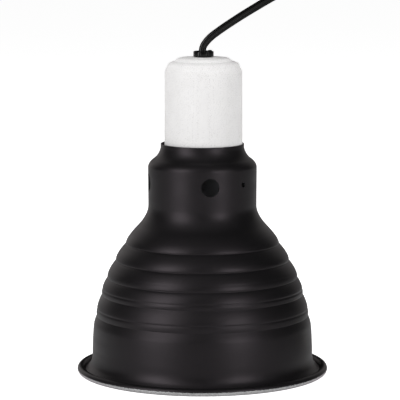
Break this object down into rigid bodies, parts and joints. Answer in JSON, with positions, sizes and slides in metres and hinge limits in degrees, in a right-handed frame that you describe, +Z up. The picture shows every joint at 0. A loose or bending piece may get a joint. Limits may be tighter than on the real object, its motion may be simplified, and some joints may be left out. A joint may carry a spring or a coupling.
{
  "type": "heat lamp fixture",
  "caption": "Dome heat lamp fixture: stepped spun metal shade with vent holes, porcelain screw lampholder in its collar, strain relief, flat twin cord with inline switch, coil and plug.",
  "frame": {"origin": "centre of the shade rim's resting plane, on the shade's axis", "axes": "+Z up the shade's axis from the rim to the cord gland, -Y to the front, +X to the side where the cord comes down"},
  "size_m": [0.3003, 0.1402, 0.2251],
  "materials": {
    "black_paint": "satin",
    "porcelain": "matte",
    "brass": "satin",
    "spring_brass": "satin",
    "zinc_steel": "satin",
    "aluminium": "satin",
    "fibre": "matte",
    "black_nylon": "satin",
    "black_pvc": "satin",
    "white_pvc": "satin"
  },
  "bodies": {
    "fixture": {"reflector_shade": "black_paint", "porcelain_housing": "porcelain", "socket_insert": "porcelain", "screw_shell": "brass", "contact_rivet": "brass", "shell_rivet": "brass", "terminal_plate_hot": "brass", "terminal_plate_neutral": "brass", "terminal_screw_hot": "brass", "terminal_screw_neutral": "zinc_steel", "lead_lug_hot": "zinc_steel", "lead_lug_neutral": "zinc_steel", "housing_screw_front": "zinc_steel", "housing_screw_back": "zinc_steel", "strain_relief_body": "black_nylon", "strain_relief_wedge": "black_nylon", "cord_entry": "black_pvc", "lead_hot": "black_pvc", "lead_neutral": "white_pvc", "cord_lead": "black_pvc", "switch_base": "black_nylon", "switch_cover": "black_nylon", "switch_screw": "zinc_steel", "switch_contact_in": "brass", "switch_contact_out": "brass", "cord_link": "black_pvc", "cord_coil": "black_pvc", "coil_tie": "black_nylon", "cord_tail": "black_pvc", "plug_body": "black_pvc", "plug_blade_hot": "brass", "plug_blade_neutral": "brass"},
    "washer": {"fibre_washer": "fibre"},
    "ring": {"retaining_ring": "aluminium"},
    "contact": {"centre_contact": "spring_brass"},
    "thumbwheel": {"switch_thumbwheel": "black_nylon"}
  },
  "joints": [
    {"name": "ring_drop", "type": "slide", "parent": "fixture", "child": "washer", "axis": [0, 0, -1], "range_m": [0, 0.0046]},
    {"name": "ring_turn", "type": "hinge", "parent": "washer", "child": "ring", "pos_m": [0.0006, 0, 0.1212], "axis": [0, 0, -1], "range_deg": [0, 1080]},
    {"name": "contact_press", "type": "slide", "parent": "fixture", "child": "contact", "axis": [0, 0, 1], "range_m": [0, 0.0012], "stiffness_N_per_m": 400},
    {"name": "switch_turn", "type": "hinge", "parent": "fixture", "child": "thumbwheel", "pos_m": [0.179, 0.051, 0.008], "axis": [0, 0, 1], "continuous": true}
  ],
  "couplings": [
    {"joint": "ring_drop", "follows": "ring_turn", "m_per_rad": 0.00023873}
  ]
}
